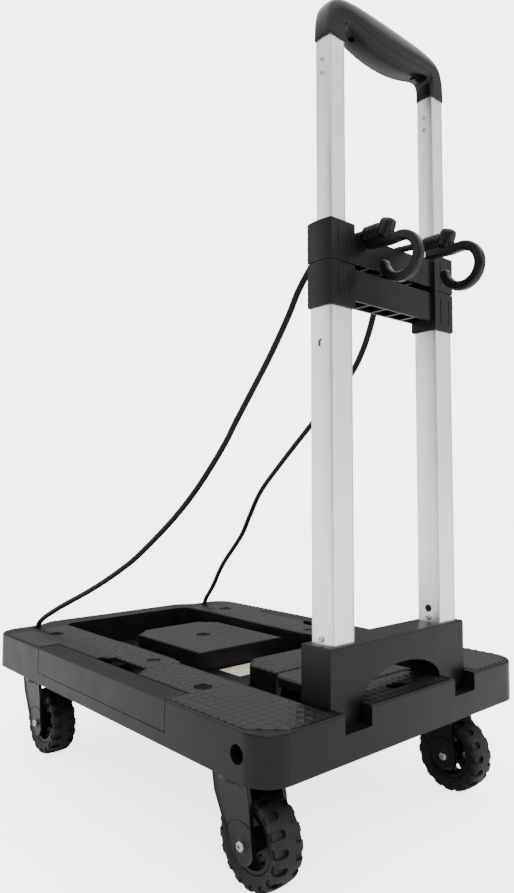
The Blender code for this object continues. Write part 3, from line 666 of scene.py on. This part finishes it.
def hook_strap(x, end):
    centre = (end - 43.0, 578.0)
    outer = arc(centre, 25.0, 80, 348, 44)
    inner = arc(centre, 15.5, 348, 92, 40)
    tip_centre = arc(centre, 20.2, 348, 348, 1)[0]
    tip = arc(tip_centre, 4.6, 348, 528, 9)
    outline = [(end - 1, 604), (end - 33, 604)] + outer + tip[1:-1] + inner
    outline += [(end - 30, 592.5), (end - 1, 594.5)]
    strap = prism(outline, x - STRAP_HALF, x + STRAP_HALF)
    strap.data.transform(SIDEWAYS)
    return round_edges(strap, 2.2, segments=3)


def screw_lump(x, end):
    """A rounded block that leans back, so that its top and the recess in it face the loop."""
    lean = math.radians(20)
    lump = round_edges(block((0, 0, 0), (13.4, 15.5, 21)), 4.8, segments=4)
    recess = rod((0, 0, 11), 3.3, 10)
    recess.scale = (1, 1.45, 1)
    carve(lump, recess)
    lump.rotation_euler = (lean, 0, 0)
    lump.location = Vector((x, end - 25.5, 609.8)) * MM
    return apply_all(lump)


def ribbed_sleeve(x, end):
    sleeve = rod((x, end - 10, SLEEVE_Z), 7.2, 20, "Y", 32)
    ribs = [rod((x, end - 1.2 - 3.1 * i, SLEEVE_Z), 8.3, 2.0, "Y", 32) for i in range(6)]
    return merged(sleeve, *(round_edges(rib, 0.8, segments=3) for rib in ribs))


for side in SIDES:
    x, end = middle_of(f"hook_sleeve_{side}").x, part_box(f"hook_sleeve_{side}")[1].y / MM
    hook = merged(hook_strap(x, end), screw_lump(x, end))
    deliver_copy(hook, f"hook_{side}")
    deliver_copy(ribbed_sleeve(x, end), f"hook_sleeve_{side}")
print("hooks drawn")

# %% [markdown]
# ## The deck
# The deck is the frame's own moulding with a few more of its details: a six-sided finger hole
# through the heel of the handle-end panel, round vents with ribs in them, and plain round
# dimples. The holes are carved first and all the edges are rounded after, so that each hole gets
# its soft rim too.

# %% Carve and round the deck
DECK_TOP = 154.0
VENTS = [(0, 61), (-148.6, -141), (148.6, -141), (-146.8, 199.8), (146.8, 199.8)]
DIMPLES = [(-127.6, -15.4), (127.6, -15.4)]
VENT_RADIUS, DIMPLE_RADIUS, VENT_DEPTH = 9.5, 8.0, 1.3
HEEL_HOLE = [(-14, -268), (-9, -274), (9, -274), (14, -268), (9, -262), (-9, -262)]


def round_recesses():
    """Cutters for the vents and the dimples, made new for each piece they are carved from."""
    cutters = [rod((x, y, DECK_TOP + 5 - VENT_DEPTH), VENT_RADIUS, 10, vertices=32) for x, y in VENTS]
    cutters += [rod((x, y, DECK_TOP + 5 - 0.5), DIMPLE_RADIUS, 10, vertices=32) for x, y in DIMPLES]
    return cutters


deck = worked_copy("deck")
carve(deck, prism(HEEL_HOLE, DECK_TOP - 8, DECK_TOP + 6), *round_recesses())
round_edges(deck, 0.9, segments=2, angle=38)
deliver_copy(deck, "deck")
lid = worked_copy("fold_lid")
round_edges(lid, 0.5, segments=2, angle=50)
deliver_copy(lid, "fold_lid")

# %% [markdown]
# Each vent has six raised ribs across it. One rib is a rounded bar, and its copies are as long as
# the circle is wide where they lie.

# %% Ribs in the vents
RIB_PITCH = 2.8
ribs = []
for x, y in VENTS:
    for i in range(6):
        offset = (i - 2.5) * RIB_PITCH
        half = math.sqrt(VENT_RADIUS**2 - offset**2)
        rib = block((x + offset, y, DECK_TOP - 0.7), (1.1, 2 * half, 1.6))
        round_edges(rib, 0.35)
        ribs.append(rib)
deliver(joined(ribs), "vent_ribs", "deck", "deck_plastic")

# %% [markdown]
# ## The anti-slip field
# The flat tops are covered with low pyramids on a square lattice 10.6 mm apart. A grid of squares
# gives the lattice, poke gives every square its tip, and bisect trims the field to each stretch of
# the top. All the fields are trimmed from one lattice, so the pattern runs on from one stretch to
# the next. Each is closed below, a little under the skin of the deck.

# %% Pyramids trimmed to each flat top
PITCH = 10.6
TIP = 0.95
CELLS = 60


def pyramid_field(name, outline, body, slot="deck_plastic", top=DECK_TOP, cutters=()):
    """The pyramids inside a convex outline of (x, y) mm that runs anticlockwise."""
    nothing_selected()
    bpy.ops.mesh.primitive_grid_add(x_subdivisions=CELLS, y_subdivisions=CELLS, size=CELLS * PITCH * MM,
                                    location=(0, 0, (top + 0.05) * MM))
    field = bpy.context.object
    apply_all(field)
    low = Vector((min(x for x, y in outline) - 15, min(y for x, y in outline) - 15)) * MM
    high = Vector((max(x for x, y in outline) + 15, max(y for x, y in outline) + 15)) * MM
    edit(field)
    pick("faces", lambda f: not (low.x < f.calc_center_median().x < high.x
                                 and low.y < f.calc_center_median().y < high.y))
    bpy.ops.mesh.delete(type="FACE")
    bpy.ops.mesh.select_all(action="SELECT")
    bpy.ops.mesh.poke(offset=TIP * MM)
    for (x0, y0), (x1, y1) in zip(outline, outline[1:] + outline[:1]):
        bpy.ops.mesh.select_all(action="SELECT")
        bpy.ops.mesh.bisect(plane_co=(x0 * MM, y0 * MM, 0), plane_no=(y1 - y0, x0 - x1, 0), clear_outer=True)
    bpy.ops.mesh.select_all(action="DESELECT")
    bpy.ops.mesh.select_mode(type="EDGE")
    bpy.ops.mesh.select_non_manifold()
    bpy.ops.mesh.extrude_edges_move(TRANSFORM_OT_translate={"value": (0, 0, -0.6 * MM)})
    bpy.ops.transform.resize(value=(1, 1, 0), center_override=(0, 0, (top - 0.5) * MM))
    bpy.ops.mesh.edge_face_add()
    bpy.ops.mesh.select_all(action="SELECT")
    bpy.ops.mesh.normals_make_consistent(inside=False)
    bpy.ops.object.mode_set(mode="OBJECT")
    carve(field, *cutters)
    return deliver(field, name, body, slot, textured_polypropylene, angle=4)


def both_sides(outline):
    return {"right": outline, "left": mirror_x(outline)}


RAIL_FIELDS = {
    "far": [(110, 140), (196.5, 140), (196.5, 243), (110, 243)],
    "beside_slot_far": [(108, 24), (152.5, 24), (170.3, 42.5), (170.3, 139.7), (108, 139.7)],
    "beside_slot": [(108, -42), (152.5, -42), (152.5, 23.7), (108, 23.7)],
    "beside_slot_near": [(114.5, -151), (170.3, -151), (170.3, -57), (152.5, -42.3), (114.5, -42.3)],
    "near": [(114.5, -290), (170, -290), *arc((168, -262), 28.5, -75, 0, 5), (196.5, -151.3),
             (114.5, -151.3)],
}
PANEL_FIELDS = {
    "far_panel": ("deck", [(-65, -20.5), (65, -20.5), (65, 116), (41, 137.3), (-41, 137.3), (-65, 116)]),
    "neck": ("deck", [(-57.5, -151), (57.5, -151), (57.5, -111), (53.5, -105.5), (46, -98.5), (34, -89),
                      (-34, -89), (-46, -98.5), (-53.5, -105.5), (-57.5, -111)]),
    "heel": ("deck", [(-58, -289.5), (58, -289.5), (58, -251), (53.5, -241), (-53.5, -241), (-58, -251)]),
    "lid": ("lid", [(-65, -235.5), (65, -235.5), (65, -165.5), (58, -156), (-58, -156), (-65, -165.5)]),
}
for place, outline in RAIL_FIELDS.items():
    for side, trimmed in both_sides(outline).items():
        pyramid_field(f"field_{place}_{side}", trimmed, "deck", cutters=round_recesses())
for place, (body, outline) in PANEL_FIELDS.items():
    cutters = round_recesses() if place == "far_panel" else []
    if place == "heel":
        cutters = [prism(HEEL_HOLE, DECK_TOP - 8, DECK_TOP + 6)]
    pyramid_field(f"field_{place}", outline, body, cutters=cutters)

# %% [markdown]
# ## Casters
# The fork's cheeks are dished: a raised rim follows their outline, and the sunk middle carries a
# shallow arc. Inset draws the rim, and a small push along the normal sinks what is inside it.

# %% Forks and hubs
CASTERS = [node.removeprefix("fork_") for node in frame["nodes"] if node.startswith("fork_")]
CHEEK, RIM, DISH = 22.7, 3.0, 1.7
AXLE_HEIGHT, ARC_DROP = 42, 4
for tag in CASTERS:
    low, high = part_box(f"fork_{tag}")
    bolt_low, bolt_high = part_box(f"axle_bolt_{tag}")
    middle, axle_y = (low[0] + high[0]) / 2, (bolt_low[1] + bolt_high[1]) / 2
    fork = worked_copy(f"fork_{tag}")
    for s in (-1, 1):
        face_x = middle + s * CHEEK * MM
        edit(fork)
        pick("faces", lambda f: abs(f.calc_center_median().x - face_x) < 0.1 * MM and abs(f.normal.x) > 0.99)
        bpy.ops.mesh.inset(thickness=RIM * MM, depth=-DISH * MM, use_boundary=True)
        bpy.ops.object.mode_set(mode="OBJECT")
        nothing_selected()
        bpy.ops.mesh.primitive_torus_add(major_radius=24 * MM, minor_radius=0.7 * MM, major_segments=72,
                                         minor_segments=8, rotation=(0, math.pi / 2, 0),
                                         location=(face_x - s * DISH * MM, axle_y + 2 * MM,
                                                   AXLE_HEIGHT * MM - ARC_DROP * MM))
        carve(fork, bpy.context.object)
    round_edges(fork, 0.6, angle=40)
    deliver_copy(fork, f"fork_{tag}")
    hub = worked_copy(f"hub_{tag}")
    round_edges(hub, 0.6, angle=40)
    deliver_copy(hub, f"hub_{tag}")
print("casters:", ", ".join(CASTERS))

# %% [markdown]
# A caster's tyre here is a small off-road one: scoops cut into both shoulders, staggered from side
# to side, leave a ring of blocks. The carcass is spun from its section. Each scoop is a U-shaped
# prism that cuts the tread, and a deeper block behind it cuts the sidewall. Both sets of cutters
# are made once, joined and carved out of one tyre, whose edges are rounded after, and the other
# three tyres are copies of it.

# %% Tyres
SCOOPS = 17
SCOOP_HALF = 3.6
TREAD_FLOOR, SIDEWALL_FLOOR = 38.7, 34.0


def ring_of(make):
    """One cutter for each scoop on both shoulders, turned about the axle, and joined."""
    cutters = []
    for side in (-1, 1):
        for i in range(SCOOPS):
            cutter = apply_all(make(side))
            cutter.rotation_euler = (2 * math.pi * (i + (0.5 if side > 0 else 0)) / SCOOPS, 0, 0)
            cutters.append(cutter)
    return joined(cutters)


def tread_scoop(side):
    inner = arc((7.6, 0), SCOOP_HALF, 270, 90, 8)
    outline = [(20, SCOOP_HALF), *reversed(inner), (20, -SCOOP_HALF)]
    return prism([(side * x, y) for x, y in outline], TREAD_FLOOR, 46)


def sidewall_scoop(side):
    return block((side * 18.2, 0, (SIDEWALL_FLOOR + 42) / 2), (7, 2 * SCOOP_HALF - 0.02, 42 - SIDEWALL_FLOOR))


TYRE_HALF_SECTION = [  # radius, half width
    (27.3, 12.4), (30.5, 14.2), (34.0, 16.0), (37.0, 16.5),
    (39.6, 15.4), (41.2, 12.6), (41.8, 8.5), (42.0, 3.5),
]
section = [(r, -w) for r, w in TYRE_HALF_SECTION] + TYRE_HALF_SECTION[::-1]
mesh = bpy.data.meshes.new("section")
count = len(section)
mesh.from_pydata([(w * MM, 0, r * MM) for r, w in section], [(i, (i + 1) % count) for i in range(count)], [])
first_tyre = bpy.data.objects.new("section", mesh)
bpy.context.scene.collection.objects.link(first_tyre)
edit(first_tyre)
bpy.ops.mesh.spin(steps=6 * SCOOPS, angle=2 * math.pi, center=(0, 0, 0), axis=(1, 0, 0))
bpy.ops.mesh.select_all(action="SELECT")
bpy.ops.mesh.remove_doubles(threshold=0.00001)
bpy.ops.mesh.normals_make_consistent(inside=False)
bpy.ops.object.mode_set(mode="OBJECT")
carve(first_tyre, ring_of(tread_scoop), ring_of(sidewall_scoop))
round_edges(first_tyre, 0.45, angle=38)
for tag in CASTERS:
    tyre = bpy.data.objects.new(f"tyre_{tag}_scooped", first_tyre.data.copy())
    bpy.context.scene.collection.objects.link(tyre)
    tyre.location = middle_of(f"tyre_{tag}") * MM
    deliver(tyre, f"tyre_{tag}_scooped", f"wheel_{tag}", "tyre_rubber", stands_for=[f"tyre_{tag}"], angle=40)
print("tyre:", len(first_tyre.data.polygons), "faces")
bpy.data.objects.remove(first_tyre)

# %% [markdown]
# ## Fasteners
# The screws are pan heads with a cross recess: a low cylinder whose top edge is rounded far, with a
# cross carved into it. The heads on the caster's axle, the handle's sockets, the upper tubes and
# the grip are all the same screw at different sizes.


# %% Pan-head screws
def pan_head(place, radius, height, direction):
    """A pan head with a cross recess. It stands on place, in mm, and faces direction, such as -X."""
    head = rod((0, 0, height / 2), radius, height, vertices=28)
    edit(head)
    pick("edges", lambda e: all(v.co.z > 0.4 * height * MM for v in e.verts))
    bpy.ops.mesh.bevel(offset=0.55 * height * MM, segments=4)
    bpy.ops.object.mode_set(mode="OBJECT")
    slot_size = (radius * 1.1, radius * 0.26, height)
    carve(head, block((0, 0, height), slot_size), block((0, 0, height), (slot_size[1], slot_size[0], height)))
    round_edges(head, 0.08, angle=40)
    sign = -1 if direction[0] == "-" else 1
    axis = {"X": Vector((sign, 0, 0)), "Z": Vector((0, 0, sign))}[direction[1]]
    turn = Vector((0, 0, 1)).rotation_difference(axis)
    head.data.transform(Matrix.Translation(Vector(place) * MM) @ turn.to_matrix().to_4x4())
    return head


SHANK_RADIUS, SHANK_LENGTH = 3.6, 44
TUBE_SCREW_HEIGHTS = (780, 766)
for tag in CASTERS:
    centre = middle_of(f"axle_bolt_{tag}")
    heads = [
        pan_head((centre.x + s * 22.3, centre.y, centre.z), 4.6, 3.2, facing)
        for s, facing in ((-1, "-X"), (1, "+X"))
    ]
    shank = rod(centre, SHANK_RADIUS, SHANK_LENGTH)
    shank.rotation_euler = (0, math.pi / 2, 0)
    round_edges(shank, 0.3)
    deliver(joined([shank, *heads]), f"axle_screws_{tag}", f"caster_{tag}", "zinc_steel",
            stands_for=[f"axle_bolt_{tag}"])
for side, s in SIDES.items():
    place = middle_of(f"base_screw_{side}")
    deliver(pan_head((place.x + 0.8, place.y, place.z), 2.9, 1.7, "-X"), f"base_screw_{side}_head", "handle",
            "zinc_steel", stands_for=[f"base_screw_{side}"])
    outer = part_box(f"upper_tube_{side}")[0].x / MM
    for i, height in enumerate(TUBE_SCREW_HEIGHTS):
        deliver(pan_head((outer + 0.2, TUBE_Y, height), 2.6, 1.3, "-X"), f"tube_screw_{side}_{i}",
                "upper_stage", "zinc_steel")

# %% [markdown]
# ## The telescopic tubes
# Each leg is three drawn aluminium tubes, one inside the other. Their front and back walls are
# flat, their side walls are slightly crowned, and a fine groove runs beside each corner, which
# draws the thin dark line that the eye reads as the tube's edge. The section is drawn once as an
# outline for each size, and extruded.


# %% Drawn tubes
TUBE_X = 84.0
LOWER_TUBE = (31.6, 27.2, 0.8, 1.3)  # width, depth, crown of the side walls, wall
MIDDLE_TUBE = (26.6, 23.4, 0.8, 1.2)
UPPER_TUBE = (22.2, 19.6, 0.7, 1.2)
GROOVE_FROM_CORNER, GROOVE_WIDTH, GROOVE_DEPTH, CORNER = 0.25, 1.15, 0.95, 0.5


def tube_section(x, size, inset=0.0, grooved=True):
    """The outline of a tube, anticlockwise, in (x, y) mm."""
    half_w, half_d, crown = size[0] / 2 - inset, size[1] / 2 - inset, size[2]
    radius = (half_d**2 + crown**2) / (2 * crown)
    spread_angle = math.degrees(math.asin(half_d / radius))
    side = arc((half_w - radius, 0), radius, -spread_angle, spread_angle, 12)
    side[0] = (side[0][0], side[0][1] + CORNER)
    side[-1] = (side[-1][0], side[-1][1] - CORNER)
    corner_x = half_w - crown - 0.2
    front = [(corner_x, half_d)]
    if grooved:
        groove = corner_x - GROOVE_FROM_CORNER
        front += [(groove, half_d), (groove - 0.15, half_d - GROOVE_DEPTH),
                  (groove - GROOVE_WIDTH + 0.15, half_d - GROOVE_DEPTH), (groove - GROOVE_WIDTH, half_d)]
    quarter = [(a, -b) for a, b in reversed(front)] + side + front
    return [(x + a, TUBE_Y + b) for a, b in quarter + [(-a, -b) for a, b in quarter]]


def drawn_tube(name, side, size, low, high, body, bores=()):
    """bores are (height, radius, direction) of holes drilled in one side wall. +1 is the wall facing +X."""
    x = SIDES[side] * TUBE_X
    tube = prism(tube_section(x, size), low, high)
    inside = prism(tube_section(x, size, size[3], grooved=False), low - 5, high + 5)
    drills = [
        rod((x + way * size[0] / 2, TUBE_Y, height), radius, 12, "X", 28) for height, radius, way in bores
    ]
    carve(tube, inside, *drills)
    return deliver(tube, f"{name}_{side}_drawn", body, "tube_aluminium",
                   stands_for=[f"{name}_{side}"], angle=28)


BUTTON_HEIGHT, HOLE_HEIGHT = 223, 495
for side, s in SIDES.items():
    drawn_tube("lower_tube", side, LOWER_TUBE, 152, 570.7, "handle",
               [(HOLE_HEIGHT, 4.0, s), (BUTTON_HEIGHT, 4.2, -s)])
    drawn_tube("middle_tube", side, MIDDLE_TUBE, 212, 611.2, "middle_stage", [(BUTTON_HEIGHT, 3.6, -s)])
    drawn_tube("upper_tube", side, UPPER_TUBE, 530, 818, "upper_stage")
print("tubes drawn")

# %% [markdown]
# ## The grip
# The grip is one moulding in semi-gloss ABS: a bar, full and round in the palm, which turns down at
# both ends into sleeves over the upper tubes. It is lofted from rings that follow the bar round
# the corner. Each ring is a superellipse, almost square on the tubes and nearly round in the
# palm, and one level of subdivision makes it smooth.

# %% Grip
GRIP_RINGS = [
    # inner x, inner z, outer x, outer z, half depth, lean, squareness
    (-71.8, 803, -96.8, 803, 11.3, 0.0, 0.24),
    (-71.8, 804, -96.8, 804, 11.3, 0.0, 0.24),
    (-71.8, 812, -96.8, 815, 11.5, 0.0, 0.30),
    (-71.2, 818.5, -96.0, 827, 12.2, 0.1, 0.42),
    (-69, 821.5, -92.5, 838.5, 13.2, 0.4, 0.55),
    (-65, 822.5, -84.5, 846.6, 14.4, 0.8, 0.65),
    (-58, 821, -70, 850.8, 15.8, 1.6, 0.72),
    (-46, 817.5, -52, 853, 17.4, 2.5, 0.75),
    (-28, 813.5, -30, 854.2, 18.6, 3.2, 0.78),
    (0, 811.3, 0, 854.6, 19.2, 3.5, 0.78),
]
RING_POINTS = 24


def grip_ring(inner_x, inner_z, outer_x, outer_z, half_depth, lean, squareness):
    middle = Vector(((inner_x + outer_x) / 2, TUBE_Y + lean, (inner_z + outer_z) / 2))
    across = Vector((outer_x - inner_x, 0, outer_z - inner_z)) / 2
    points = []
    for i in range(RING_POINTS):
        a = 2 * math.pi * i / RING_POINTS
        c, s = (math.copysign(abs(v) ** squareness, v) for v in (math.cos(a), math.sin(a)))
        points.append((middle + across * s + Vector((0, half_depth * c, 0))) * MM)
    return points


rings = [grip_ring(*ring) for ring in GRIP_RINGS]
rings += [grip_ring(-a, b, -c, *rest) for a, b, c, *rest in reversed(GRIP_RINGS[:-1])]
nothing_selected()
for number, ring in enumerate(rings):
    bpy.ops.mesh.primitive_circle_add(vertices=RING_POINTS)
    circle = bpy.context.object
    for vertex, point in zip(circle.data.vertices, ring):
        vertex.co = point
    circle.location = (0, 0, 0)
    circle.name = f"ring_{number:02}"
nothing_selected()
ring_objects = sorted((o for o in bpy.data.objects if o.name.startswith("ring_")), key=lambda o: o.name)
for ring in ring_objects:
    ring.select_set(True)
grip = ring_objects[0]
bpy.context.view_layer.objects.active = grip
bpy.ops.object.join()
edit(grip)
for number in range(len(rings) - 1):
    first = number * RING_POINTS
    pick("edges", lambda e: all(first <= v.index < first + 2 * RING_POINTS for v in e.verts)
         and not e.link_faces or all(first <= v.index < first + RING_POINTS for v in e.verts))
    bpy.ops.mesh.bridge_edge_loops()
bpy.ops.mesh.select_all(action="DESELECT")
bpy.ops.mesh.select_mode(type="EDGE")
bpy.ops.mesh.select_non_manifold()
bpy.ops.mesh.edge_face_add()
bpy.ops.mesh.select_all(action="SELECT")
bpy.ops.mesh.normals_make_consistent(inside=False)
pick("faces", lambda f: len(f.verts) == RING_POINTS)
bpy.ops.mesh.inset(thickness=1.2 * MM)
bpy.ops.object.mode_set(mode="OBJECT")
modifier = grip.modifiers.new("smooth", "SUBSURF")
modifier.levels = modifier.render_levels = 1
apply_all(grip)
GRIP_SCREW_X = 52
for s in SIDES.values():
    carve(grip, prism(tube_section(s * TUBE_X, UPPER_TUBE, -0.35, grooved=False), 780, 818.4),
          rod((s * GRIP_SCREW_X, TUBE_Y, 812.5), 3.4, 27, vertices=24))
deliver(grip, "grip_lofted", "upper_stage", "grip_plastic", stands_for=["grip"], angle=50)
for side, s in SIDES.items():
    deliver(pan_head((s * GRIP_SCREW_X, TUBE_Y, 825.8), 2.7, 1.6, "-Z"), f"grip_screw_{side}_head",
            "upper_stage", "zinc_steel", stands_for=[f"grip_screw_{side}"])
print("grip:", len(grip.data.polygons), "faces")

# %% [markdown]
# ## The pieces that stay as they are
# Pins, plugs and plates are plain shapes, and the frame's own are right. They only take their
# material.

# %% Materials for the frame's own pieces
for name, node in frame["nodes"].items():
    node.data.materials.clear()
    node.data.materials.append(SLOT_MATERIAL[SLOT[name]])
